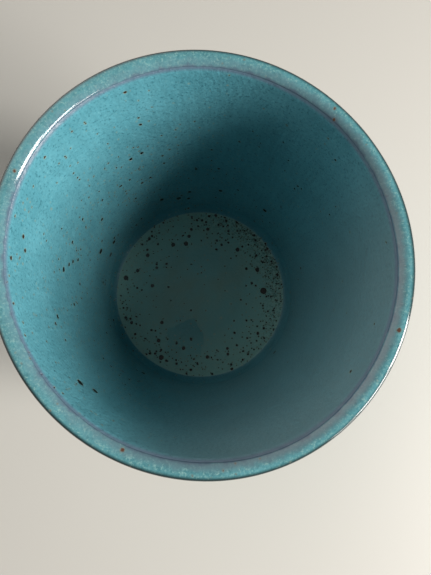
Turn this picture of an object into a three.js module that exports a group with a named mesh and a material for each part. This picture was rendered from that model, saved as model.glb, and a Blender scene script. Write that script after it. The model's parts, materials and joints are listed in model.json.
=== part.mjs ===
// A glazed stoneware pot: a thrown and turned tub with a rounded rim, a slightly bellied wall that tapers
// to a turned foot ring, a liner glaze poured inside and a second glaze dipped over the outside and the
// rim. The two glazes meet on the inner lip. The foot ring and the underside are bare clay.
//
// Frame: millimetres, +Z up, the origin on the pot's axis at the height of the foot's flat face.
// Every round surface is one profile in the (radius, height) half plane, turned about Z. The clay is drawn
// first. A coat's own surface is the clay's profile moved out by the coat's thickness, and its back is the
// clay's profile itself, so a coat lies on the clay with no gap, as a fired glaze does.

import * as THREE from "three";

// ---- Driving dimensions -------------------------------------------------------------------------------

// Overall, over the glaze, before the kiln draws the rim oval
const RIM_DIAMETER = 180;
const BASE_DIAMETER = 153; // where the wall turns into the heel
const HEIGHT = 164;

// Wall, over both glazes
const RIM_THICKNESS = 7.6;
const BASE_THICKNESS = 8.2; // just above the inside corner
const WALL_BOW = 1500; // radius of the wall's slight belly

// Rim, over the glaze: a tight outer corner, an easy inner one, and on it the line where the glazes meet
const RIM_OUTER_CORNER = 2.4;
const RIM_INNER_CORNER = 4.4;
const LIP_ANGLE = 57; // degrees round the inner corner from the crest

// Floor, heel and foot, in the clay
const FLOOR_THICKNESS = 6.3;
const FLOOR_CORNER = 10;
const HEEL_RADIUS = 12;
const FOOT_DIAMETER = 132;
const FOOT_WIDTH = 8;
const FOOT_HEIGHT = 4; // the ring's upright side, below the heel's curve
const FOOT_RECESS = 3; // depth of the hollow inside the ring
const FOOT_CHAMFER = 1;

// Glazes
const OUTER_COAT = 0.7;
const LINER_COAT = 0.7;
const LINER_POOL = 1.8; // the liner's depth where it has run together on the floor
const BARE_HEEL = 12; // degrees of the heel's curve that stay bare above the foot

// The rim leaves the kiln a little oval: its long half-axis gains this much and its short one loses it.
// The warp grows with the square of the height, so the foot and the floor stay round.
const KILN_WARP = 1.4;
const KILN_WARP_DIRECTION = 110; // degrees from +X to the long axis

// Facets: round the pot, up a wall, and round a corner
const ROUND_STEPS = 56;
const WALL_STEPS = 4;
const CORNER_STEPS = 4;
const LIP_STEPS = 2;

// ---- Profile ------------------------------------------------------------------------------------------

const point = (radius, height) => new THREE.Vector2(radius, height);
const heading = (angle) => point(Math.cos(angle), Math.sin(angle));
const radians = THREE.MathUtils.degToRad;
const UPRIGHT = Math.PI / 2;

// A round stretch of the profile. Grown by a coat, it keeps its centre and its angles.
class Arc {
  constructor(centre, radius, from, to, steps) {
    Object.assign(this, { centre, radius, from, to, steps });
  }

  at(angle, grown = 0) {
    return heading(angle).multiplyScalar(this.radius + grown).add(this.centre);
  }

  points(grown = 0) {
    const turn = (this.to - this.from) / this.steps;
    return Array.from({ length: this.steps + 1 }, (_, i) => this.at(this.from + turn * i, grown));
  }
}

// The belly that runs from the low corner to the high one and is tangent to both. A reach is the corner's
// radius, and is negative for a corner whose centre lies outside the belly.
function wallBetween(low, lowReach, high, highReach) {
  const toLow = WALL_BOW - lowReach;
  const toHigh = WALL_BOW - highReach;
  const chord = high.clone().sub(low);
  const length = chord.length();
  const along = (toLow ** 2 - toHigh ** 2 + length ** 2) / (2 * length);
  const inward = Math.sqrt(toLow ** 2 - along ** 2);
  chord.divideScalar(length);
  const centre = low
    .clone()
    .addScaledVector(chord, along)
    .addScaledVector(point(-chord.y, chord.x), inward);
  const towards = (corner) => Math.atan2(corner.y - centre.y, corner.x - centre.x);
  return new Arc(centre, WALL_BOW, towards(low), towards(high), WALL_STEPS);
}

// Outside of the clay: heel, wall and the rim's outer corner
const crest = HEIGHT - OUTER_COAT;
const footRadius = FOOT_DIAMETER / 2;
const heelReach = footRadius - (BASE_DIAMETER / 2 - OUTER_COAT - HEEL_RADIUS);
const heelFoot = -Math.acos(heelReach / HEEL_RADIUS);
const heelCentre = point(footRadius - heelReach, FOOT_HEIGHT - HEEL_RADIUS * Math.sin(heelFoot));
const outerCorner = RIM_OUTER_CORNER - OUTER_COAT;
const outerCentre = point(RIM_DIAMETER / 2 - RIM_OUTER_CORNER, HEIGHT - RIM_OUTER_CORNER);

const outerWall = wallBetween(heelCentre, HEEL_RADIUS, outerCentre, outerCorner);
const glazeLine = heelFoot + radians(BARE_HEEL);
const bareHeel = new Arc(heelCentre, HEEL_RADIUS, heelFoot, glazeLine, 1);
const heel = new Arc(heelCentre, HEEL_RADIUS, glazeLine, outerWall.from, CORNER_STEPS);
const rimOutside = new Arc(outerCentre, outerCorner, outerWall.to, UPRIGHT, CORNER_STEPS);

// Inside of the clay: the rim's inner corner, wall and floor corner
const floorHeight = FOOT_RECESS + FLOOR_THICKNESS;
const innerCorner = RIM_INNER_CORNER - OUTER_COAT;
const innerCentre = point(
  RIM_DIAMETER / 2 - RIM_THICKNESS + RIM_INNER_CORNER,
  HEIGHT - RIM_INNER_CORNER,
);
const floorCentre = point(
  BASE_DIAMETER / 2 - BASE_THICKNESS + LINER_COAT - FLOOR_CORNER,
  floorHeight + FLOOR_CORNER,
);

const innerWall = wallBetween(floorCentre, FLOOR_CORNER, innerCentre, -innerCorner);
const lipAngle = UPRIGHT + radians(LIP_ANGLE);
const rimInside = new Arc(innerCentre, innerCorner, UPRIGHT, lipAngle, CORNER_STEPS);
const lip = new Arc(innerCentre, innerCorner, lipAngle, innerWall.to + Math.PI, LIP_STEPS);
const floorCorner = new Arc(floorCentre, FLOOR_CORNER, innerWall.from, -UPRIGHT, CORNER_STEPS);

// The liner's own surface in the floor corner stops where the pool's level surface meets it.
const poolEdge = -Math.asin((FLOOR_CORNER - LINER_POOL) / (FLOOR_CORNER - LINER_COAT));
const poolCorner = new Arc(floorCentre, FLOOR_CORNER, innerWall.from, poolEdge, CORNER_STEPS);

// ---- Solids -------------------------------------------------------------------------------------------

// Stretches that meet in one point share it once.
function joined(...stretches) {
  const near = 1e-6;
  return stretches.flat().filter((p, i, all) => i === 0 || p.distanceTo(all[i - 1]) > near);
}

// Turns a closed profile about Z. Every facet is split from its lower start to its upper end, whichever way
// the profile passes it, so a coat's back and the clay under it have the same facets.
function turned(profile) {
  const geometry = new THREE.LatheGeometry(profile, ROUND_STEPS);
  const row = profile.length;
  const index = [];
  for (let i = 0; i < ROUND_STEPS; i++) {
    for (let j = 0; j < row - 1; j++) {
      const start = i * row + j;
      const startNext = start + 1;
      const end = start + row;
      const endNext = end + 1;
      if (profile[j + 1].y > profile[j].y) {
        index.push(start, end, endNext, endNext, startNext, start);
      } else {
        index.push(start, end, startNext, endNext, startNext, end);
      }
    }
  }
  geometry.setIndex(index);
  geometry.rotateX(Math.PI / 2);
  return kilnWarped(geometry);
}

// Draws a round geometry oval, the more the higher it stands.
function kilnWarped(geometry) {
  const share = KILN_WARP / (RIM_DIAMETER / 2);
  const long = heading(radians(KILN_WARP_DIRECTION));
  const short = heading(radians(KILN_WARP_DIRECTION) + UPRIGHT);
  const place = geometry.getAttribute("position");
  for (let i = 0; i < place.count; i++) {
    const p = point(place.getX(i), place.getY(i));
    const warp = share * (place.getZ(i) / HEIGHT) ** 2;
    const drawn = p
      .clone()
      .addScaledVector(long, p.dot(long) * warp)
      .addScaledVector(short, -p.dot(short) * warp);
    place.setXY(i, drawn.x, drawn.y);
  }
  return geometry;
}

// The clay, from the middle of the underside round the foot, up the outside and down the inside
function stonewareBody() {
  const footInner = footRadius - FOOT_WIDTH;
  return turned(
    joined(
      [
        point(0, FOOT_RECESS),
        point(footInner - FOOT_RECESS, FOOT_RECESS),
        point(footInner, 0),
        point(footRadius - FOOT_CHAMFER, 0),
        point(footRadius, FOOT_CHAMFER),
      ],
      bareHeel.points(),
      heel.points(),
      outerWall.points(),
      rimOutside.points(),
      rimInside.points(),
      lip.points(),
      innerWall.points().reverse(),
      floorCorner.points(),
      [point(0, floorHeight)],
    ),
  );
}

// The glaze dipped over the outside, up over the rim to the inner lip
function outerGlaze() {
  const stretches = [heel, outerWall, rimOutside, rimInside];
  const surface = joined(...stretches.map((arc) => arc.points(OUTER_COAT)));
  const onClay = joined(...stretches.map((arc) => arc.points()));
  return turned([...surface, ...onClay.reverse(), surface[0]]);
}

// The glaze poured inside, from the inner lip down the wall to the pool on the floor
function linerGlaze() {
  const surface = joined(
    lip.points(LINER_COAT),
    innerWall.points(-LINER_COAT).reverse(),
    poolCorner.points(-LINER_COAT),
    [point(0, floorHeight + LINER_POOL)],
  );
  const onClay = joined(
    lip.points(),
    innerWall.points().reverse(),
    floorCorner.points(),
    [point(0, floorHeight)],
  );
  return turned([...onClay.reverse(), ...surface]);
}

// ---- The pot ------------------------------------------------------------------------------------------

function piece(name, geometry, color, roughness) {
  const material = new THREE.MeshStandardMaterial({ color, roughness, metalness: 0 });
  const mesh = new THREE.Mesh(geometry, material);
  mesh.name = name;
  return mesh;
}

const pot = new THREE.Group();
pot.name = "glazed_stoneware_pot";
pot.add(
  piece("stoneware_body", stonewareBody(), 0x9a8069, 0.85),
  piece("outer_glaze", outerGlaze(), 0x63a3a3, 0.15),
  piece("liner_glaze", linerGlaze(), 0x3f8e9b, 0.3),
);

export default pot;
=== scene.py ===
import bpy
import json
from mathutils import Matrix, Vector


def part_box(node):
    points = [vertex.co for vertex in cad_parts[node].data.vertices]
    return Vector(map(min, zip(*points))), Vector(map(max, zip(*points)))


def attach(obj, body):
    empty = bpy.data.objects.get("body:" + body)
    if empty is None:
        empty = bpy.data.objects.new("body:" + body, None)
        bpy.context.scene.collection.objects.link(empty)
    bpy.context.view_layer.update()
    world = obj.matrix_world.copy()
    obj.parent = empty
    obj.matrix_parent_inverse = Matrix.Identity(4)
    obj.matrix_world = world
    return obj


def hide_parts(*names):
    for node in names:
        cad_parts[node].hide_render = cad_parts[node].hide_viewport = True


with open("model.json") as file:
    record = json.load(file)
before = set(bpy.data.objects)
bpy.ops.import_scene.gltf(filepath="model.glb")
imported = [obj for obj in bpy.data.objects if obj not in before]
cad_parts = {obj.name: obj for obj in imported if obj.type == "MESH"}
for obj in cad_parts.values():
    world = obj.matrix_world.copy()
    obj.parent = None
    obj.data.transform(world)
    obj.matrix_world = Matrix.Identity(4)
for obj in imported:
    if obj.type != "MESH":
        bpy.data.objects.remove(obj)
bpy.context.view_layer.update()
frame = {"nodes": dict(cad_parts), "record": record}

import json
import math

import bmesh
import bpy
import numpy as np
from mathutils import Vector


# ---- The camera ------------------------------------------------------------------------------------------
# Held over the mouth, a little in front of the pot's axis, looking down to the floor inside. It stands
# nearly two hands above the rim, so the mouth fills the view and the walls show down to the floor.

MM = 0.001
CAMERA_LEFT = 3.7  # mm from the axis
CAMERA_FORWARD = 36.4  # mm from the axis
CAMERA_ABOVE_RIM = 174.8  # mm
CAMERA_TILT = 7.03  # degrees off straight down, toward the back
CAMERA_LEAN = 2.60  # degrees off straight down, to the right

camera = bpy.data.objects.new("camera", bpy.data.cameras.new("camera"))
bpy.context.scene.collection.objects.link(camera)
bpy.context.scene.camera = camera
rim_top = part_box("outer_glaze")[1].z
camera.location = Vector((-CAMERA_LEFT * MM, -CAMERA_FORWARD * MM, rim_top + CAMERA_ABOVE_RIM * MM))
camera.rotation_euler = (math.radians(CAMERA_TILT), math.radians(-CAMERA_LEAN), 0.0)
camera.data.sensor_width = 36.0
camera.data.lens = 27.05
camera.data.clip_start = 0.01


# ---- The clay body ---------------------------------------------------------------------------------------
# Iron-bearing stoneware clay, thrown on a wheel and turned when leather-hard to leave a foot ring. It is
# bare on the ring and underneath, where it fired to a warm, sandy, matt buff. Glaze hides the rest.

# Sizes are in mm. The overall ones come from the frame.
COAT = 0.7  # thickness of a glaze
WALL_AT_RIM = 7.6
WALL_AT_FLOOR = 8.0
BELLY = 1.75  # how far the wall bows out at half height
OUTER_CORNER = 1.8  # roundings, measured on the glaze
INNER_CORNER = 5.4
FLOOR_CORNER = 9.3
HEEL_CORNER = 12.7
HEEL_INSET = 1.2  # how much narrower the wall is at its foot than at the heel's top
HEEL_TOP = 20.0  # height
FOOT_FACE = 0.5  # corners lower than this are on the face the pot stands on
UNDER_HEEL = 3.1  # height of the glaze's outline where it turns in over the foot
POOL = 1.1  # how much deeper than its coat the liner lies on the floor
KILN_WARP = 1.4  # the rim's long half-axis gains this and its short one loses it
KILN_WARP_DIRECTION = math.radians(110)
CLAY_COLUMNS = 288  # faces round the pot

coat_low, coat_high = (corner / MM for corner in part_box("outer_glaze"))
rim_height = coat_high.z
rim_radius = (coat_high.x - coat_low.x + coat_high.y - coat_low.y) / 4
floor_height = next(m for m in frame["record"]["mounts"] if m["name"] == "inside_floor")["pos_m"][2] / MM
clay_corners = [v.co / MM for v in frame["nodes"]["stoneware_body"].data.vertices]
foot_ring = [corner.xy.length for corner in clay_corners if corner.z < FOOT_FACE]
heel_radius = max(corner.xy.length for corner in clay_corners if corner.z < HEEL_TOP) + COAT


def rounded(corners, fine, coarse):
    """A line through corners given as (radius, height, rounding), in steps no longer than fine on the
    roundings and coarse between them."""
    corners = [np.array(corner, float) for corner in corners]
    line = [corners[0][:2]]
    for before, corner, after in zip(corners, corners[1:], corners[2:]):
        here, rounding = corner[:2], corner[2]
        back = (before[:2] - here) / np.linalg.norm(before[:2] - here)
        on = (after[:2] - here) / np.linalg.norm(after[:2] - here)
        half = math.acos(back @ on) / 2
        centre = here + (back + on) / np.linalg.norm(back + on) * rounding / math.sin(half)
        first = here + back * rounding / math.tan(half) - centre
        last = here + on * rounding / math.tan(half) - centre
        turn = math.pi - 2 * half
        for share in np.linspace(0, 1, max(2, math.ceil(rounding * turn / fine)) + 1):
            swing = math.sin((1 - share) * turn) * first + math.sin(share * turn) * last
            line.append(centre + swing / math.sin(turn))
    line.append(corners[-1][:2])
    stepped = [line[0]]
    for a, b in zip(line, line[1:]):
        count = max(1, math.ceil(np.linalg.norm(b - a) / coarse))
        stepped += [a + (b - a) * k / count for k in range(1, count + 1)]
    return np.array(stepped)


def distances(line):
    """How far along the line each of its points lies."""
    return np.concatenate([[0], np.cumsum(np.linalg.norm(np.diff(line, axis=0), axis=1))])


def outward(line):
    """The direction out of the pot at each point of a line that runs up, over the rim and down inside."""
    run = np.gradient(line, axis=0)
    run /= np.linalg.norm(run, axis=1)[:, None]
    return np.stack([run[:, 1], -run[:, 0]], axis=1)


def pot_outline(fine, coarse):
    """The glazed pot's outline, from under the heel, up the wall, over the rim and down to the floor."""
    wall_foot = heel_radius - HEEL_INSET
    line = rounded(
        [
            (foot_ring[0] - 20, UNDER_HEEL, 0),
            (wall_foot, UNDER_HEEL, HEEL_CORNER),
            (rim_radius, rim_height, OUTER_CORNER),
            (rim_radius - WALL_AT_RIM, rim_height, INNER_CORNER),
            (wall_foot - WALL_AT_FLOOR, floor_height - POOL, FLOOR_CORNER),
            (0, floor_height - POOL, 0),
        ],
        fine,
        coarse,
    )
    share = np.clip((line[:, 1] - rim_height / 2) / (rim_height / 2 - 8), -1, 1)
    line[:, 0] += BELLY * np.cos(share * math.pi / 2) ** 2 * (line[:, 0] > foot_ring[0])
    return line


def lumps(angle, height):
    """How far out of round the thrower's hands left the wall, all through its thickness."""
    return (
        0.22 * np.sin(2 * angle + 0.9 + 0.012 * height)
        + 0.14 * np.sin(3 * angle + 4.0 - 0.020 * height)
        + 0.07 * np.sin(5 * angle + 2.2 + 0.031 * height)
    )


def on_the_pot(radius, height, angle):
    """Where a point of the true outline comes to lie on the thrown pot, drawn oval by the kiln."""
    radius = radius + lumps(angle, height) * np.clip(radius / 60, 0, 1)
    warp = KILN_WARP / rim_radius * (height / rim_height) ** 2
    turn = angle - KILN_WARP_DIRECTION
    on_long, on_short = radius * np.cos(turn) * (1 + warp), radius * np.sin(turn) * (1 - warp)
    long_x, long_y = math.cos(KILN_WARP_DIRECTION), math.sin(KILN_WARP_DIRECTION)
    return np.stack([on_long * long_x - on_short * long_y, on_long * long_y + on_short * long_x, height], -1)


def turned(name, line, at, columns, depth=None, zero=0, relief=None, slide=None):
    """A skin turned about the axis. Its rows lie at distances along a line in mm, and the rows with a
    depth lie that far under it and close the skin behind. relief lifts the face off the line and slide
    shifts the rows along it, by the angle round the pot and the distance along the line. The UV map holds
    the share of a turn, and the distance from zero in metres."""
    along = distances(line)
    angle, at = np.meshgrid(np.linspace(0, 2 * math.pi, columns, endpoint=False), at)
    under = np.zeros_like(at) if depth is None else np.repeat(np.array(depth)[:, None], columns, axis=1)
    moved = at + (slide(angle, at) if slide else 0)
    lift = (relief(angle, at) if relief else 0) * (under == 0) - under
    out = outward(line)
    radius, height, out_x, out_z = (
        np.interp(moved, along, values) for values in (line[:, 0], line[:, 1], out[:, 0], out[:, 1])
    )
    points = on_the_pot(radius + out_x * lift * (radius > 0.01), height + out_z * lift, angle)

    rows = len(at) if depth is not None else len(at) - 1
    row, column = np.meshgrid(np.arange(rows), np.arange(columns), indexing="ij")
    on, beside = (row + 1) % len(at), (column + 1) % columns
    faces = [row * columns + column, row * columns + beside, on * columns + beside, on * columns + column]
    mesh = bpy.data.meshes.new(name)
    mesh.from_pydata((points.reshape(-1, 3) * MM).tolist(), [], np.stack(faces, 2).reshape(-1, 4).tolist())
    share = np.stack([column, column + 1, column + 1, column], axis=2) / columns
    mark = (at[:, 0] - zero) * MM
    distance = np.stack([mark[row], mark[row], mark[on], mark[on]], axis=2)
    mesh.uv_layers.new(name="turned").data.foreach_set("uv", np.stack([share, distance], axis=3).ravel())
    welded = bmesh.new()
    welded.from_mesh(mesh)
    bmesh.ops.remove_doubles(welded, verts=welded.verts, dist=1e-7)
    welded.to_mesh(mesh)
    welded.free()
    mesh.shade_smooth()
    mesh.set_sharp_from_angle(angle=math.radians(60))
    piece = bpy.data.objects.new(name, mesh)
    bpy.context.scene.collection.objects.link(piece)
    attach(piece, "root")
    return piece


def shade(code):
    """A colour given as an sRGB hex code, turned to linear."""
    parts = [int(code[k : k + 2], 16) / 255 for k in (0, 2, 4)]
    return [*(c / 12.92 if c <= 0.04045 else ((c + 0.055) / 1.055) ** 2.4 for c in parts), 1.0]


def add(tree, kind, links=None, **settings):
    """Adds a node with its settings, and sets or links its inputs, by name or by number. A node given as a
    value means its first output in use. By number, a Map Range takes its value, the two ends it comes from
    and the two it goes to as 0 to 4. A Mix takes its share as 0, and then two numbers as 2 and 3 or two
    colours as 6 and 7."""
    node = tree.nodes.new(kind)
    for name, value in settings.items():
        setattr(node, name, value)
    for name, value in (links or {}).items():
        if isinstance(value, bpy.types.Node):
            value = next(output for output in value.outputs if output.enabled)
        if isinstance(value, bpy.types.NodeSocket):
            tree.links.new(value, node.inputs[name])
        else:
            node.inputs[name].default_value = value
    return node


def started(name):
    """An empty material, its node tree, and the place on the object in mm."""
    material = bpy.data.materials.new(name)
    material.use_nodes = True
    tree = material.node_tree
    tree.nodes.clear()
    place = add(tree, "ShaderNodeTexCoord").outputs["Object"]
    place = add(tree, "ShaderNodeVectorMath", {0: place, 1: (1 / MM,) * 3}, operation="MULTIPLY")
    return material, tree, place


FOOT_SIDE = max(foot_ring) + 1.0
clay_skin = pot_outline(1.0, 3.0)
clay_skin = clay_skin - COAT * outward(clay_skin)
clay_skin = clay_skin[np.argmax(clay_skin[:, 0] > FOOT_SIDE) :]
clay_skin[-1, 0] = 0
foot_line = rounded(
    [
        (0, 3.0, 0),
        (min(foot_ring) - 2.5, 3.0, 2.0),
        (min(foot_ring) - 0.3, 0, 1.4),
        (FOOT_SIDE, 0, 1.2),
        (FOOT_SIDE, clay_skin[0, 1], 0),
    ],
    0.4,
    0.6,
)
foot_length = distances(foot_line)[-1]


def turning_marks(angle, at):
    """The turning tool's fine spiral under the foot, deeper where the tool chattered."""
    groove = np.sin(2 * math.pi * at / 2.4 + angle) + 0.4 * np.sin(2 * math.pi * at / 0.9 + 3 * angle)
    chatter = 1 + 0.5 * np.sin(3 * angle + 0.4 * at)
    return 0.045 * groove * chatter * (at > 1) * (at < foot_length - 12)


clay_line = np.concatenate([foot_line, clay_skin])
clay_rows = distances(clay_line)
clay_body = turned("clay_body", clay_line, clay_rows, CLAY_COLUMNS, zero=foot_length, relief=turning_marks)
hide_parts("stoneware_body")

# Bare fired stoneware scatters light evenly and shows no gloss. The flame toasts it darker in broad
# patches and along the glaze, grog makes it sandy, and iron grains of about half a millimetre speck it.
bare_clay, nodes, place = started("bare_stoneware")
toast = add(nodes, "ShaderNodeTexNoise", {"Vector": place, "Scale": 0.045, "Detail": 4.0})
toast = add(nodes, "ShaderNodeMapRange", {0: toast, 1: 0.38, 2: 0.62})
colour = add(nodes, "ShaderNodeMix", {0: toast, 6: shade("b59c7f"), 7: shade("977659")}, data_type="RGBA")
around = add(nodes, "ShaderNodeUVMap", uv_map="turned")
around = add(nodes, "ShaderNodeSeparateXYZ", {0: around})
by_glaze = add(nodes, "ShaderNodeMapRange", {0: around.outputs[1], 1: -0.004, 2: 0.003, 3: 0.0, 4: 0.75})
colour = add(nodes, "ShaderNodeMix", {0: by_glaze, 6: colour, 7: shade("7d4f33")}, data_type="RGBA")
grog = add(nodes, "ShaderNodeTexNoise", {"Vector": place, "Scale": 1.4, "Detail": 5.0, "Roughness": 0.7})
sandy = add(nodes, "ShaderNodeMapRange", {0: grog, 1: 0.33, 2: 0.68, 3: 0.78, 4: 1.14})
colour = add(nodes, "ShaderNodeMix", {0: 1.0, 6: colour, 7: sandy}, data_type="RGBA", blend_type="MULTIPLY")
iron = add(nodes, "ShaderNodeTexVoronoi", {"Vector": place, "Scale": 1 / 2.2})
iron = add(nodes, "ShaderNodeMapRange", {0: iron.outputs["Distance"], 1: 0.10, 2: 0.18, 3: 0.8, 4: 0.0})
colour = add(nodes, "ShaderNodeMix", {0: iron, 6: colour, 7: shade("3a2417")}, data_type="RGBA")
drag = add(nodes, "ShaderNodeTexWave", {"Vector": place, "Scale": 0.28, "Distortion": 2.0}, wave_type="RINGS")
drag.rings_direction = "Z"
coarse_ground = add(nodes, "ShaderNodeMath", {0: drag, 1: 0.5, 2: grog}, operation="MULTIPLY_ADD")
ground = add(nodes, "ShaderNodeBump", {"Height": coarse_ground, "Strength": 0.6, "Distance": 0.00025})
clay_look = {"Base Color": colour, "Roughness": 0.88, "IOR": 1.5, "Specular IOR Level": 0.3, "Normal": ground}
clay_shader = add(nodes, "ShaderNodeBsdfPrincipled", clay_look)
add(nodes, "ShaderNodeOutputMaterial", {"Surface": clay_shader})
clay_body.data.materials.append(bare_clay)


# ---- The liner glaze -------------------------------------------------------------------------------------
# A satin turquoise glaze poured in, swirled and tipped out. It starts under the dipped glaze on the lip,
# hangs down the wall and ran together on the floor into a level, greyer pool. Iron burnt through it.

LIP = 57  # degrees round the inner corner of the rim, where the two glazes meet
TUCK = 1.4  # how far the liner runs on under the other glaze, in mm
SUNK = 0.05  # how far a coat's back lies inside the clay, in mm, so that no gap shows
GLAZE_COLUMNS = 480  # faces round the pot, the same in both glazes, which meet on the lip
BACK_EVERY = 6  # a coat's hidden back has one row for this many of its face

whole = pot_outline(0.45, 1.6)
crest = np.argmax(whole[:, 1] >= rim_height - 1e-6)
tilt = np.degrees(np.arctan2(-outward(whole)[:, 0], outward(whole)[:, 1]))
lip = crest + np.argmax(tilt[crest:] > LIP)
lip_at = distances(whole)[lip]
pool_edge = lip + np.argmax(whole[lip:, 1] < floor_height)
pool_radius = whole[pool_edge, 0]
wall_length = distances(whole)[pool_edge] - lip_at
shore = [(pool_radius + 0.5, floor_height + 0.25), (pool_radius + 0.1, floor_height + 0.06)]
level = [(radius, floor_height) for radius in np.arange(pool_radius - 0.5, 1, -2.4)]
inside = np.concatenate([whole[: pool_edge], shore, level, [(0, floor_height)]])


def lip_wander(angle):
    """How far down the wall, in mm, the line between the glazes wanders."""
    return 0.35 * np.sin(angle + 1.0) + 0.25 * np.sin(3 * angle + 2.0) + 0.15 * np.sin(7 * angle)


def lip_slide(angle, at):
    """Both glazes' rows follow the line between them."""
    return lip_wander(angle) * np.clip(1 - np.abs(at - lip_at) / 9, 0, 1)


def liner_relief(angle, at):
    """Faint finger ridges that climb in a spiral, and the glaze's top edge sinking under the other."""
    down = at - lip_at
    ridge = np.sin(2 * math.pi * at / 8.3 + angle + np.sin(2 * angle + at / 31))
    ridge = ridge + 0.7 * np.sin(2 * math.pi * at / 13.1 + angle + 1.0) * np.sin(3 * angle - at / 23)
    fade = np.clip((down - 6) / 20, 0, 1) * np.clip((wall_length - 8 - down) / 12, 0, 1)
    return 0.022 * ridge * fade - 0.16 * np.clip(1 - down / 2.2, 0, 2)


def coat_rows(line, first, last, back_depth):
    """The rows of a closed coat, and their depths: its face from first to last along the line, and its back
    in the clay."""
    at = distances(line)
    face = np.concatenate([[first], at[(at > first + 0.2) & (at < last - 0.2)], [last]])
    back = np.unique(np.concatenate([[first, last], face[::BACK_EVERY]]))[::-1]
    rows = np.concatenate([face, back])
    depth = np.concatenate([0 * face, back_depth(back)])
    return rows, depth


def liner_back(at):
    """The coat's depth, and the deeper pool's."""
    return np.where(at - lip_at < wall_length - 1, COAT, COAT + POOL) + SUNK


rows, depth = coat_rows(inside, lip_at - TUCK, distances(inside)[-1], liner_back)
liner = turned("liner_glaze_skin", inside, rows, GLAZE_COLUMNS, depth, lip_at, liner_relief, lip_slide)
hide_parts("liner_glaze")


def glaze_places(tree, place):
    """What a glaze's patterns are laid out by: a fine noise about zero, the place moved a little by it, the
    share of a turn round the pot, and the mm down from the lip. Grains and edges are drawn at the moved
    place, because they are seldom round in a glaze that flowed."""
    wobble = add(tree, "ShaderNodeTexNoise", {"Vector": place, "Scale": 1.1, "Detail": 2.0})
    wobble = {0: wobble.outputs["Color"], 1: (0.5,) * 3}
    wobble = add(tree, "ShaderNodeVectorMath", wobble, operation="SUBTRACT")
    wobbled = {0: wobble, 1: (0.9,) * 3, 2: place}
    wobbled = add(tree, "ShaderNodeVectorMath", wobbled, operation="MULTIPLY_ADD")
    around = add(tree, "ShaderNodeUVMap", uv_map="turned")
    around = add(tree, "ShaderNodeSeparateXYZ", {0: around})
    run = add(tree, "ShaderNodeMath", {0: around.outputs[1], 1: 1 / MM}, operation="MULTIPLY")
    return wobble, wobbled, around.outputs[0], run


def toward_side(tree, round_pot, side):
    """How squarely a place lies to a side of the pot, given in degrees round it: 1 there, -1 opposite."""
    off = add(tree, "ShaderNodeMath", {0: round_pot, 1: -side / 360}, operation="ADD")
    off = add(tree, "ShaderNodeMath", {0: off, 1: 2 * math.pi}, operation="MULTIPLY")
    return add(tree, "ShaderNodeMath", {0: off}, operation="COSINE")


def iron_spots(tree, place, cell, share, smallest, largest):
    """How far inside an iron spot a place lies, in mm. One grain is seeded in each cell of that many mm. In
    a share of them it bleeds through the glaze, with a radius from smallest to largest."""
    seeds = add(tree, "ShaderNodeTexVoronoi", {"Vector": place, "Scale": 1 / cell})
    dice = add(tree, "ShaderNodeSeparateColor", {0: seeds.outputs["Color"]})
    size = add(tree, "ShaderNodeMapRange", {0: dice.outputs[1], 3: smallest, 4: largest})
    away = add(tree, "ShaderNodeMath", {0: seeds.outputs["Distance"], 1: cell}, operation="MULTIPLY")
    inside_by = add(tree, "ShaderNodeMath", {0: size, 1: away}, operation="SUBTRACT")
    missed = add(tree, "ShaderNodeMath", {0: dice.outputs[0], 1: share}, operation="GREATER_THAN")
    return add(tree, "ShaderNodeMath", {0: missed, 1: -9.0, 2: inside_by}, operation="MULTIPLY_ADD")


def with_set_spots(tree, place, spots, centres):
    """The same with more spots, each set one by one with its centre and its radius in mm."""
    for centre, size in centres:
        away = add(tree, "ShaderNodeVectorMath", {0: place, 1: centre}, operation="DISTANCE")
        inside_by = add(tree, "ShaderNodeMath", {0: size, 1: away.outputs["Value"]}, operation="SUBTRACT")
        spots = add(tree, "ShaderNodeMath", {0: spots, 1: inside_by}, operation="MAXIMUM")
    return spots


# The wall's turquoise is copper and a little cobalt in a milky glaze. It is uneven in soft clouds a few
# centimetres across and in faint streaks where it ran down, with dark and pale grit of about a millimetre.
turquoise, nodes, place = started("liner_turquoise")
wobble, wobbled, round_pot, run = glaze_places(nodes, place)
clouds = add(nodes, "ShaderNodeTexNoise", {"Vector": place, "Scale": 0.05, "Detail": 4.0, "Roughness": 0.6})
clouds = add(nodes, "ShaderNodeMapRange", {0: clouds, 1: 0.35, 2: 0.65})
colour = add(nodes, "ShaderNodeMix", {0: clouds, 6: shade("508e9a"), 7: shade("5897a3")}, data_type="RGBA")
streaked = add(nodes, "ShaderNodeVectorMath", {0: wobbled, 1: (0.5, 0.5, 0.035)}, operation="MULTIPLY")
streaks = add(nodes, "ShaderNodeTexNoise", {"Vector": streaked, "Scale": 1.0, "Detail": 3.0})
streaks = add(nodes, "ShaderNodeMapRange", {0: streaks, 1: 0.3, 2: 0.7, 3: 0.93, 4: 1.06})
colour = add(nodes, "ShaderNodeMix", {0: 1.0, 6: colour, 7: streaks}, data_type="RGBA", blend_type="MULTIPLY")
grit = add(nodes, "ShaderNodeTexNoise", {"Vector": place, "Scale": 0.85, "Detail": 4.0, "Roughness": 0.65})
dark_grit = add(nodes, "ShaderNodeMapRange", {0: grit, 1: 0.555, 2: 0.65, 3: 0.0, 4: 0.7})
colour = add(nodes, "ShaderNodeMix", {0: dark_grit, 6: colour, 7: shade("255b67")}, data_type="RGBA")
pale_grit = add(nodes, "ShaderNodeMapRange", {0: grit, 1: 0.42, 2: 0.30, 3: 0.0, 4: 0.4})
colour = add(nodes, "ShaderNodeMix", {0: pale_grit, 6: colour, 7: shade("78b0b5")}, data_type="RGBA")
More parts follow.
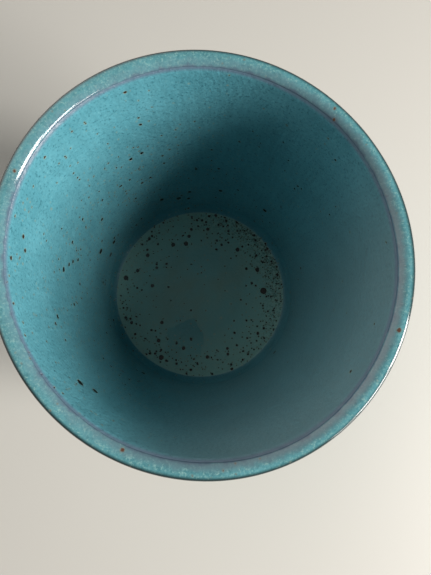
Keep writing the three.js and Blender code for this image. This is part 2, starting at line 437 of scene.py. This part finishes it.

# Toward one side, most of all high up, a greyer colour is painted in: painted sheen, the room's light seen as
# a pale veil on the wall there. The satin there is duller too.
SHEEN_SIDE = 318  # degrees round the pot
sheen_side = toward_side(nodes, round_pot, SHEEN_SIDE)
sheen_side = add(nodes, "ShaderNodeMapRange", {0: sheen_side, 1: 0.1, 2: 0.85}, interpolation_type="SMOOTHSTEP")
sheen_above = add(nodes, "ShaderNodeMapRange", {0: run, 1: wall_length + 10, 2: 8.0, 3: 0.35, 4: 0.8})
sheen_painted = add(nodes, "ShaderNodeMath", {0: sheen_side, 1: sheen_above}, operation="MULTIPLY")
sheen_painted = add(nodes, "ShaderNodeMath", {0: sheen_painted, 1: streaks}, operation="MULTIPLY")
# painted sheen: a pale grey veil over the wall's colour, strongest high up on one side
colour = add(nodes, "ShaderNodeMix", {0: sheen_painted, 6: colour, 7: shade("6b8286")}, data_type="RGBA")

# A darker band is painted in the cove round the floor: painted shade. The pool has a thin grey-green skin,
# partly crystals, partly a painted reflection of the ceiling, left out in one ragged patch as a painted dark
# reflection. The skin pales to a crust toward the shore, and a broken pale line follows the shore itself.
DARK_REFLECTION_PATCH = (-12, -37, floor_height)  # its middle, in mm
past_shore = add(nodes, "ShaderNodeMath", {0: wobble, 1: run}, operation="ADD")
# painted shade: a darker band in the cove round the floor
cove_shade = add(nodes, "ShaderNodeMapRange", {0: run, 1: wall_length - 11, 2: wall_length - 2, 3: 0.0, 4: 0.6})
colour = add(nodes, "ShaderNodeMix", {0: cove_shade, 6: colour, 7: shade("1c5f69")}, data_type="RGBA")
pool = add(nodes, "ShaderNodeMapRange", {0: past_shore, 1: wall_length - 0.2, 2: wall_length + 0.9})
# painted reflection: the pool's grey-green veil is left out round this patch, where a dark thing is reflected
reflection_gap = add(nodes, "ShaderNodeVectorMath", {0: wobbled, 1: DARK_REFLECTION_PATCH}, operation="DISTANCE")
ragged = add(nodes, "ShaderNodeTexNoise", {"Vector": wobbled, "Scale": 0.045, "Detail": 2.0})
reflection_gap = add(nodes, "ShaderNodeMath", {0: ragged, 1: 34.0, 2: reflection_gap.outputs["Value"]}, operation="MULTIPLY_ADD")
veil_left = add(nodes, "ShaderNodeMapRange", {0: reflection_gap, 1: 31.0, 2: 33.0, 3: 0.3, 4: 1.0})
veil_tone = add(nodes, "ShaderNodeMapRange", {0: ragged, 1: 0.35, 2: 0.65})
skin_and_reflection = add(nodes, "ShaderNodeMix", {0: veil_tone, 6: shade("64877f"), 7: shade("5b8d8b")}, data_type="RGBA")
skin_and_reflection = add(nodes, "ShaderNodeMix", {0: veil_left, 6: shade("2c7a80"), 7: skin_and_reflection}, data_type="RGBA")
crust = add(nodes, "ShaderNodeMath", {0: wobble, 1: 9.0, 2: run}, operation="MULTIPLY_ADD")
crust = add(nodes, "ShaderNodeMapRange", {0: crust, 1: wall_length + 34, 2: wall_length + 4, 3: 0.0, 4: 0.75})
skin_and_reflection = add(nodes, "ShaderNodeMix", {0: crust, 6: skin_and_reflection, 7: shade("7ba79e")}, data_type="RGBA")
colour = add(nodes, "ShaderNodeMix", {0: pool, 6: colour, 7: skin_and_reflection}, data_type="RGBA")
shore_line = add(nodes, "ShaderNodeMapRange", {0: past_shore, 1: wall_length, 2: wall_length + 1.6})
shore_line = add(nodes, "ShaderNodeMath", {0: shore_line, 1: 0.5, 2: 0.3}, operation="COMPARE")
dots = add(nodes, "ShaderNodeMapRange", {0: grit, 1: 0.48, 2: 0.56, 3: 0.0, 4: 0.7})
shore_line = add(nodes, "ShaderNodeMath", {0: shore_line, 1: dots}, operation="MULTIPLY")
colour = add(nodes, "ShaderNodeMix", {0: shore_line, 6: colour, 7: shade("7ca89f")}, data_type="RGBA")

# Iron grains in the clay bleed through as brown-black spots. The largest are set one by one: degrees round
# the pot, then mm above the foot's face on the wall or mm out from the axis on the floor, and the spot's
# radius in mm.
WALL_SPOTS = [
    (161, 49, 1.8),
    (159, 31, 1.7),
    (152, 36, 1.4),
    (150, 39, 1.0),
    (148, 70, 1.1),
    (156, 54, 0.8),
    (178, 98, 1.3),
    (175, 91, 1.0),
    (173, 86, 1.0),
    (171, 79, 1.0),
    (178, 146, 0.9),
    (182, 158, 0.8),
    (114, 128, 0.8),
    (114, 134, 0.6),
    (116, 155, 0.7),
    (122, 101, 1.0),
    (114, 37, 1.4),
    (104, 31, 1.8),
    (98, 28, 1.3),
    (97, 38, 1.3),
    (198, 115, 1.1),
    (201, 121, 0.9),
    (224, 134, 1.8),
    (229, 127, 1.5),
    (236, 37, 1.3),
    (320, 27, 1.5),
    (51, 43, 1.5),
    (79, 42, 1.4),
]
FLOOR_SPOTS = [
    (2, 48, 2.4),
    (107, 40, 1.7),
    (120, 43, 1.5),
    (145, 50, 1.4),
    (50, 44, 1.5),
    (22, 47, 1.4),
    (172, 37, 1.3),
    (102, 45, 1.3),
    (84, 50, 1.3),
    (161, 51, 1.3),
    (218, 37, 1.3),
    (229, 48, 1.4),
    (253, 44, 1.3),
    (276, 49, 1.3),
    (239, 57, 1.8),
    (169, 58, 1.7),
]
wall = whole[lip:pool_edge][::-1]
centres = []
for turn, high, size in WALL_SPOTS:
    radius = np.interp(high, wall[:, 1], wall[:, 0])
    centres.append((on_the_pot(radius, high, math.radians(turn)), size))
for turn, out, size in FLOOR_SPOTS:
    centres.append((on_the_pot(out, floor_height, math.radians(turn)), size))

# The rest are strewn. On the wall they are more numerous lower down and to the speckled side, and few where
# sheen is painted. On the floor they crowd its edge, most of all where they gathered as the glaze settled.
SPECKLED_SIDE = 174.75  # degrees round the pot
GATHERED_SIDE = 28.65
speckled = toward_side(nodes, round_pot, SPECKLED_SIDE)
speckled = add(nodes, "ShaderNodeMapRange", {0: speckled, 1: -0.3, 2: 0.5, 3: 0.3, 4: 1.0})
gathered = toward_side(nodes, round_pot, GATHERED_SIDE)
gathered = add(nodes, "ShaderNodeMapRange", {0: gathered, 1: 0.3, 2: 1.0, 3: 0.5, 4: 0.95})
edge_crowd = {0: run, 1: wall_length + 30, 2: wall_length + 8, 3: 0.08, 4: gathered}
edge_crowd = add(nodes, "ShaderNodeMapRange", edge_crowd)
on_wall = add(nodes, "ShaderNodeMapRange", {0: sheen_painted, 1: 0.0, 2: 0.4, 3: 0.14, 4: 0.02})
lower_down = add(nodes, "ShaderNodeMapRange", {0: run, 1: 35.0, 2: 95.0, 3: 0.6, 4: 2.6})
on_wall = add(nodes, "ShaderNodeMath", {0: on_wall, 1: lower_down}, operation="MULTIPLY")
on_wall = add(nodes, "ShaderNodeMath", {0: on_wall, 1: speckled}, operation="MULTIPLY")
big_share = add(nodes, "ShaderNodeMix", {0: pool, 2: on_wall, 3: edge_crowd})
small_share = add(nodes, "ShaderNodeMath", {0: big_share, 1: 1.8}, operation="MULTIPLY")
spots = iron_spots(nodes, wobbled, 5.0, big_share, 0.4, 1.0)
small_spots = iron_spots(nodes, wobbled, 2.6, small_share, 0.25, 0.5)
spots = add(nodes, "ShaderNodeMath", {0: spots, 1: small_spots}, operation="MAXIMUM")
floor_share = add(nodes, "ShaderNodeMath", {0: pool, 1: edge_crowd}, operation="MULTIPLY")
floor_spots = iron_spots(nodes, wobbled, 3.8, floor_share, 0.5, 1.15)
spots = add(nodes, "ShaderNodeMath", {0: spots, 1: floor_spots}, operation="MAXIMUM")

# The finest grit drifted against the floor's edge on that same side. It is a dust of tiny spots, with dark
# strings and pale crumbs that only half melted.
drift = add(nodes, "ShaderNodeMapRange", {0: gathered, 1: 0.5, 2: 0.95, 3: 0.12, 4: 0.9})
drift = add(nodes, "ShaderNodeMapRange", {0: run, 1: wall_length + 17, 2: wall_length + 5, 3: 0.0, 4: drift})
drift = add(nodes, "ShaderNodeMath", {0: pool, 1: drift}, operation="MULTIPLY")
dust = iron_spots(nodes, wobbled, 1.9, drift, 0.3, 0.62)
spots = add(nodes, "ShaderNodeMath", {0: spots, 1: dust}, operation="MAXIMUM")
strings = add(nodes, "ShaderNodeMapRange", {0: grit, 1: 0.50, 2: 0.57, 3: 0.0, 4: 0.8})
strings = add(nodes, "ShaderNodeMath", {0: strings, 1: drift}, operation="MULTIPLY")
colour = add(nodes, "ShaderNodeMix", {0: strings, 6: colour, 7: shade("1c3a38")}, data_type="RGBA")
crumbs = add(nodes, "ShaderNodeMapRange", {0: grit, 1: 0.47, 2: 0.40, 3: 0.0, 4: 0.6})
crumbs = add(nodes, "ShaderNodeMath", {0: crumbs, 1: drift}, operation="MULTIPLY")
colour = add(nodes, "ShaderNodeMix", {0: crumbs, 6: colour, 7: shade("96b0a2")}, data_type="RGBA")

# Each spot is a near-black core in a narrow pale halo, where the iron drew the colour out of the glaze. It
# is rusty in patches, though hardly on the floor, and all over near the lip, where the coat is thin.
spots = with_set_spots(nodes, wobbled, spots, centres)
halo = add(nodes, "ShaderNodeMapRange", {0: spots, 1: -0.55, 2: -0.12, 3: 0.0, 4: 0.7})
colour = add(nodes, "ShaderNodeMix", {0: halo, 6: colour, 7: shade("7d9386")}, data_type="RGBA")
rusty = add(nodes, "ShaderNodeTexNoise", {"Vector": place, "Scale": 0.09})
rust_most = add(nodes, "ShaderNodeMapRange", {0: pool, 3: 0.7, 4: 0.1})
rusty = add(nodes, "ShaderNodeMapRange", {0: rusty, 1: 0.5, 2: 0.68, 4: rust_most})
rusty_above = add(nodes, "ShaderNodeMapRange", {0: run, 1: 28.0, 2: 10.0})
rusty = add(nodes, "ShaderNodeMath", {0: rusty, 1: rusty_above}, operation="MAXIMUM")
iron = add(nodes, "ShaderNodeMix", {0: rusty, 6: shade("0c0807"), 7: shade("36251b")}, data_type="RGBA")
core = add(nodes, "ShaderNodeMapRange", {0: spots, 1: -0.12, 2: 0.1, 3: 0.0, 4: 0.97})
colour = add(nodes, "ShaderNodeMix", {0: core, 6: colour, 7: iron}, data_type="RGBA")

# The liner's top few millimetres lie thin under the lip, where it breaks to a purplish grey.
breaking = add(nodes, "ShaderNodeMapRange", {0: run, 1: 0.2, 2: 1.8, 3: 0.8, 4: 0.0})
colour = add(nodes, "ShaderNodeMix", {0: breaking, 6: colour, 7: shade("576376")}, data_type="RGBA")

# A satin glaze's gloss is blurred by fine crystals, more so in the pale clouds and where sheen is painted,
# and less on melted iron and on the pool. Its skin has the orange peel of a melt, about 2 mm across, and each
# spot is a shallow pit.
peel = add(nodes, "ShaderNodeTexNoise", {"Vector": place, "Scale": 0.5, "Detail": 3.0})
skin = add(nodes, "ShaderNodeMath", {0: grit, 1: 0.35, 2: peel}, operation="MULTIPLY_ADD")
skin = add(nodes, "ShaderNodeMath", {0: core, 1: -0.9, 2: skin}, operation="MULTIPLY_ADD")
skin = add(nodes, "ShaderNodeBump", {"Height": skin, "Strength": 0.8, "Distance": 0.0004})
satin = add(nodes, "ShaderNodeMapRange", {0: clouds, 3: 0.34, 4: 0.42})
satin = add(nodes, "ShaderNodeMath", {0: core, 1: -0.12, 2: satin}, operation="MULTIPLY_ADD")
satin = add(nodes, "ShaderNodeMath", {0: sheen_painted, 1: 0.1, 2: satin}, operation="MULTIPLY_ADD")
satin = add(nodes, "ShaderNodeMix", {0: pool, 2: satin, 3: 0.25})
liner_shader = add(
    nodes, "ShaderNodeBsdfPrincipled", {"Base Color": colour, "Roughness": satin, "IOR": 1.5, "Normal": skin}
)
add(nodes, "ShaderNodeOutputMaterial", {"Surface": liner_shader})
liner.data.materials.append(turquoise)


# ---- The outside glaze -----------------------------------------------------------------------------------
# A glossier, greener turquoise. The pot was held by its foot and dipped mouth down, so the coat covers the
# outside and the rim, ends in a thick rolled edge above the foot, and wraps the lip down to the liner.

GLAZE_LINE = 5.2  # mean height of the lower edge, in mm

edge_at = distances(whole)[np.argmax(whole[:, 1] > GLAZE_LINE)]
crest_at = distances(whole)[crest]


def edge_wander(angle):
    """How far up the heel, in mm, the glaze's lower edge wanders."""
    return 0.5 * np.sin(2 * angle + 0.5) + 0.35 * np.sin(5 * angle + 2.0) + 0.2 * np.sin(13 * angle + 1.0)


def outer_slide(angle, at):
    """The rows follow the lower edge at one end and the line on the lip at the other."""
    return edge_wander(angle) * np.clip(1 - (at - edge_at) / 9, 0, 1) + lip_slide(angle, at)


def outer_relief(angle, at):
    """The rounded edge and the roll above it, runs of glaze, soft ribs left by the thrower's fingers, and
    the top edge melting down onto the liner."""
    up, left = at - edge_at, lip_at - at
    edge = -COAT * (1 - np.sqrt(1 - np.clip(1 - up / 0.9, 0, 1) ** 2))
    roll = 0.30 + 0.12 * np.sin(7 * angle + 1.0) + 0.08 * np.sin(17 * angle)
    roll = roll * np.exp(-(((up - 2.6) / 1.9) ** 2))
    runs = 0.05 * np.sin(23 * angle + 2.0) * np.sin(9 * angle)
    runs = runs * np.clip(1 - up / 70, 0, 1) * np.clip(up / 6, 0, 1)
    rib = np.sin(2 * math.pi * at / 9.1 + angle + np.sin(2 * angle + at / 27))
    rib = rib + 0.6 * np.sin(2 * math.pi * at / 14.7 + angle) * np.sin(2 * angle + at / 19)
    ribs = 0.05 * rib * np.clip((up - 14) / 25, 0, 1) * np.clip((crest_at - 10 - at) / 14, 0, 1)
    melt = -0.55 * (1 - np.sqrt(1 - np.clip(1 - left / 1.3, 0, 1) ** 2))
    return edge + roll + runs + ribs + melt


def outer_back(at):
    """The coat's depth."""
    return 0 * at + COAT + SUNK


rows, depth = coat_rows(whole, edge_at, lip_at, outer_back)
outer = turned("outer_glaze_skin", whole, rows, GLAZE_COLUMNS, depth, lip_at, outer_relief, outer_slide)
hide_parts("outer_glaze")

# The melt is clear enough to deepen where it is thick, and breaks where it is thin. It holds a snow of
# pale crystal flecks about half a millimetre across, drawn out down the wall by the run of the glaze.
green, nodes, place = started("rim_turquoise")
_, wobbled, round_pot, run = glaze_places(nodes, place)
from_lip = add(nodes, "ShaderNodeMath", {0: run, 1: -1.0}, operation="MULTIPLY")
uneven = add(nodes, "ShaderNodeTexNoise", {"Vector": place, "Scale": 0.22, "Detail": 3.0})
uneven = add(nodes, "ShaderNodeMapRange", {0: uneven, 1: 0.3, 2: 0.7, 3: -1.0, 4: 1.0})
from_lip_uneven = add(nodes, "ShaderNodeMath", {0: from_lip, 1: uneven}, operation="ADD")

clouds = add(nodes, "ShaderNodeTexNoise", {"Vector": place, "Scale": 0.045, "Detail": 4.0, "Roughness": 0.6})
clouds = add(nodes, "ShaderNodeMapRange", {0: clouds, 1: 0.35, 2: 0.65})
colour = add(nodes, "ShaderNodeMix", {0: clouds, 6: shade("4f868d"), 7: shade("5a949c")}, data_type="RGBA")
streaked = add(nodes, "ShaderNodeVectorMath", {0: wobbled, 1: (0.45, 0.45, 0.03)}, operation="MULTIPLY")
streaks = add(nodes, "ShaderNodeTexNoise", {"Vector": streaked, "Scale": 1.0, "Detail": 3.0})
deep_streaks = add(nodes, "ShaderNodeMapRange", {0: streaks, 1: 0.5, 2: 0.75, 3: 0.0, 4: 0.5})
colour = add(nodes, "ShaderNodeMix", {0: deep_streaks, 6: colour, 7: shade("316970")}, data_type="RGBA")
snow_grain = add(nodes, "ShaderNodeVectorMath", {0: place, 1: (1.0, 1.0, 0.55)}, operation="MULTIPLY")
snow = add(nodes, "ShaderNodeTexNoise", {"Vector": snow_grain, "Scale": 1.05, "Detail": 4, "Roughness": 0.7})
flecks = add(nodes, "ShaderNodeMapRange", {0: snow, 1: 0.51, 2: 0.65, 3: 0.0, 4: 0.75})
drifts = add(nodes, "ShaderNodeMapRange", {0: streaks, 1: 0.35, 2: 0.6, 3: 0.35, 4: 1.0})
flecks = add(nodes, "ShaderNodeMath", {0: flecks, 1: drifts}, operation="MULTIPLY")
colour = add(nodes, "ShaderNodeMix", {0: flecks, 6: colour, 7: shade("8fb9b4")}, data_type="RGBA")
pits = add(nodes, "ShaderNodeMapRange", {0: snow, 1: 0.44, 2: 0.3, 3: 0.0, 4: 0.45})
colour = add(nodes, "ShaderNodeMix", {0: pits, 6: colour, 7: shade("275c63")}, data_type="RGBA")

# Thick in the roll above the foot it is darker. On the rim's outer edge a near-black line is painted, partly
# the glaze breaking thin, partly painted shade where the edge turns from the light. Over the liner on the
# rim's inner slope the two melt to a mauve grey, made stronger toward one side by painted sheen, and end in a
# purple-grey line.
MAUVE_SHEEN_SIDE = 325  # degrees round the pot
roll_at = lip_at - edge_at
thick = add(nodes, "ShaderNodeMapRange", {0: from_lip, 1: roll_at - 16, 2: roll_at, 4: 0.75})
colour = add(nodes, "ShaderNodeMix", {0: thick, 6: colour, 7: shade("1d525c")}, data_type="RGBA")
rim_width = lip_at - crest_at
# painted shade: a near-black line over the rim's outer edge, also the glaze breaking thin there
edge_shade_in = add(nodes, "ShaderNodeMapRange", {0: from_lip, 1: rim_width - 0.4, 2: rim_width + 0.8})
edge_shade_out = add(nodes, "ShaderNodeMapRange", {0: from_lip_uneven, 1: rim_width + 5.5, 2: rim_width + 2.6})
edge_shade_and_break = add(nodes, "ShaderNodeMath", {0: edge_shade_in, 1: edge_shade_out}, operation="MULTIPLY")
edge_shade_and_break = add(nodes, "ShaderNodeMath", {0: edge_shade_and_break, 1: 0.95}, operation="MULTIPLY")
colour = add(nodes, "ShaderNodeMix", {0: edge_shade_and_break, 6: colour, 7: shade("1c2d2e")}, data_type="RGBA")
# painted sheen: the mauve grey on the inner slope is made stronger toward one side
mauve_and_sheen = toward_side(nodes, round_pot, MAUVE_SHEEN_SIDE)
mauve_and_sheen = add(nodes, "ShaderNodeMapRange", {0: mauve_and_sheen, 1: -0.6, 2: 0.8, 3: 0.4, 4: 0.75})
mauve = {0: from_lip_uneven, 1: 5.6, 2: 2.2}
mauve = add(nodes, "ShaderNodeMapRange", mauve, interpolation_type="SMOOTHSTEP")
mauve = add(nodes, "ShaderNodeMath", {0: mauve, 1: mauve_and_sheen}, operation="MULTIPLY")
colour = add(nodes, "ShaderNodeMix", {0: mauve, 6: colour, 7: shade("62767f")}, data_type="RGBA")
lip_line = add(nodes, "ShaderNodeMapRange", {0: from_lip_uneven, 1: 1.9, 2: 0.4, 3: 0.0, 4: 0.85})
colour = add(nodes, "ShaderNodeMix", {0: lip_line, 6: colour, 7: shade("516071")}, data_type="RGBA")

# Iron shows less through this glaze, as small brown spots. On the rim the largest are set one by one:
# degrees round the pot, mm out from the line on the lip, and the spot's radius in mm.
RIM_SPOTS = [(339, 4.6, 0.9), (48, 4.8, 0.6), (46, 1.2, 0.6), (247, 3.0, 0.8), (158, 4.0, 0.7)]
centres = []
for turn, out, size in RIM_SPOTS:
    radius, high = (np.interp(lip_at - out, distances(whole), whole[:, k]) for k in (0, 1))
    centres.append((on_the_pot(radius, high, math.radians(turn)), size))
spots = iron_spots(nodes, wobbled, 6.5, 0.06, 0.3, 0.8)
small_spots = iron_spots(nodes, wobbled, 2.4, 0.06, 0.15, 0.3)
spots = add(nodes, "ShaderNodeMath", {0: spots, 1: small_spots}, operation="MAXIMUM")
spots = with_set_spots(nodes, wobbled, spots, centres)
halo = add(nodes, "ShaderNodeMapRange", {0: spots, 1: -0.6, 2: 0.0, 3: 0.0, 4: 0.5})
colour = add(nodes, "ShaderNodeMix", {0: halo, 6: colour, 7: shade("797767")}, data_type="RGBA")
core = add(nodes, "ShaderNodeMapRange", {0: spots, 1: -0.1, 2: 0.25, 3: 0.0, 4: 0.92})
colour = add(nodes, "ShaderNodeMix", {0: core, 6: colour, 7: shade("5a3524")}, data_type="RGBA")

# A glossy glaze: sharp highlights, broken a little by orange peel and by the crystals at its surface.
peel = add(nodes, "ShaderNodeTexNoise", {"Vector": place, "Scale": 0.35, "Detail": 3.0})
skin = add(nodes, "ShaderNodeMath", {0: snow, 1: 0.18, 2: peel}, operation="MULTIPLY_ADD")
skin = add(nodes, "ShaderNodeMath", {0: core, 1: -0.8, 2: skin}, operation="MULTIPLY_ADD")
polished = add(nodes, "ShaderNodeMapRange", {0: from_lip, 1: rim_width, 2: rim_width + 12, 3: 0.06, 4: 0.25})
skin = add(nodes, "ShaderNodeBump", {"Height": skin, "Strength": polished, "Distance": 0.0001})
gloss = add(nodes, "ShaderNodeMapRange", {0: snow, 1: 0.45, 2: 0.7, 3: 0.06, 4: 0.16})
outer_shader = add(
    nodes, "ShaderNodeBsdfPrincipled", {"Base Color": colour, "Roughness": gloss, "IOR": 1.56, "Normal": skin}
)
add(nodes, "ShaderNodeOutputMaterial", {"Surface": outer_shader})
outer.data.materials.append(green)


# ---- The studio ------------------------------------------------------------------------------------------
# A plain warm-white floor, and a softbox of three panes on one side, each taller and stronger than the one
# before. Far beyond the pot's other side a pale wall sends light back, and the ceiling is dim.

FLOOR_HALF = 4  # metres from the pot to the floor's edge
floor_mesh = bpy.data.meshes.new("floor")
floor_corners = [(x * FLOOR_HALF, y * FLOOR_HALF, 0) for x, y in ((-1, -1), (1, -1), (1, 1), (-1, 1))]
floor_mesh.from_pydata(floor_corners, [], [(0, 1, 2, 3)])
floor = bpy.data.objects.new("floor", floor_mesh)
bpy.context.scene.collection.objects.link(floor)
floor_paint, nodes, place = started("floor_paint")
floor_look = {"Base Color": shade("c1beb7"), "Roughness": 0.6}
add(nodes, "ShaderNodeOutputMaterial", {"Surface": add(nodes, "ShaderNodeBsdfPrincipled", floor_look)})
floor_mesh.materials.append(floor_paint)


def direction(turn, rise):
    """The way to something seen from the pot, that many degrees round and up."""
    turn, rise = math.radians(turn), math.radians(rise)
    return Vector((math.cos(rise) * math.cos(turn), math.cos(rise) * math.sin(turn), math.sin(rise)))


# Each pane: its two sides and its top, in metres across and up the softbox, and its strength.
PANES = [(-0.58, -0.33, -0.05, 0.72), (-0.29, 0.075, 0.26, 1.15), (0.095, 0.42, 0.52, 1.5)]
BOX_TURN = -25.0  # degrees round from the pot's right
BOX_RISE = 27.5  # degrees up from the rim
BOX_DISTANCE = 1.4  # metres from the rim's middle
BOX_SILL = -0.44  # metres up the softbox, where every pane begins
BOX_POWER = 50.0  # watts for each square metre of a pane of strength 1
WARM_WHITE = (1.0, 0.98, 0.95)
WALL_TURN = 144  # degrees round and up to the brightest of the pale wall
WALL_RISE = 19
rim_centre = Vector((0, 0, rim_height * MM))
toward = direction(BOX_TURN, BOX_RISE)
across = direction(BOX_TURN + 90, 0)
upward = toward.cross(across)
for number, (start, end, top, strength) in enumerate(PANES):
    light = bpy.data.lights.new(f"pane_{number}", "AREA")
    light.shape = "RECTANGLE"
    light.size, light.size_y = end - start, top - BOX_SILL
    light.energy = BOX_POWER * strength * light.size * light.size_y
    light.color = WARM_WHITE
    pane = bpy.data.objects.new(light.name, light)
    bpy.context.scene.collection.objects.link(pane)
    middle = across * (start + end) / 2 + upward * (top + BOX_SILL) / 2
    pane.location = rim_centre + toward * BOX_DISTANCE + middle
    pane.rotation_euler = toward.to_track_quat("Z", "Y").to_euler()

# The room's own light is weak but for the pale wall. It is a little brighter low down all round, and dims
# again toward the floor's edge, so that no hard horizon shows in the gloss.
room = bpy.data.worlds.new("studio")
bpy.context.scene.world = room
room.use_nodes = True
nodes = room.node_tree
nodes.nodes.clear()
way = add(nodes, "ShaderNodeTexCoord").outputs["Generated"]
to_wall = direction(WALL_TURN, WALL_RISE)
facing = add(nodes, "ShaderNodeVectorMath", {0: way, 1: to_wall}, operation="DOT_PRODUCT")
pale_wall = {0: facing.outputs["Value"], 1: 0.47, 2: 1.0, 3: 0.055, 4: 1.6}
pale_wall = add(nodes, "ShaderNodeMapRange", pale_wall, interpolation_type="SMOOTHSTEP")
height = add(nodes, "ShaderNodeSeparateXYZ", {0: way}).outputs[2]
skirting = add(nodes, "ShaderNodeMapRange", {0: height, 1: 0.1, 2: 0.4, 3: 0.5, 4: 0.0})
strength = add(nodes, "ShaderNodeMath", {0: pale_wall, 1: skirting}, operation="ADD")
ceiling = add(nodes, "ShaderNodeMapRange", {0: height, 1: 0.82, 2: 0.95, 3: 0.0, 4: 0.12})
strength = add(nodes, "ShaderNodeMath", {0: strength, 1: ceiling}, operation="ADD")
above_floor = add(nodes, "ShaderNodeMapRange", {0: height, 1: 0.0, 2: 0.22, 3: 0.3, 4: 1.0})
strength = add(nodes, "ShaderNodeMath", {0: strength, 1: above_floor}, operation="MULTIPLY")
air = add(nodes, "ShaderNodeBackground", {"Color": (*WARM_WHITE, 1.0), "Strength": strength})
add(nodes, "ShaderNodeOutputWorld", {"Surface": air})

bpy.context.scene.view_settings.view_transform = "Standard"
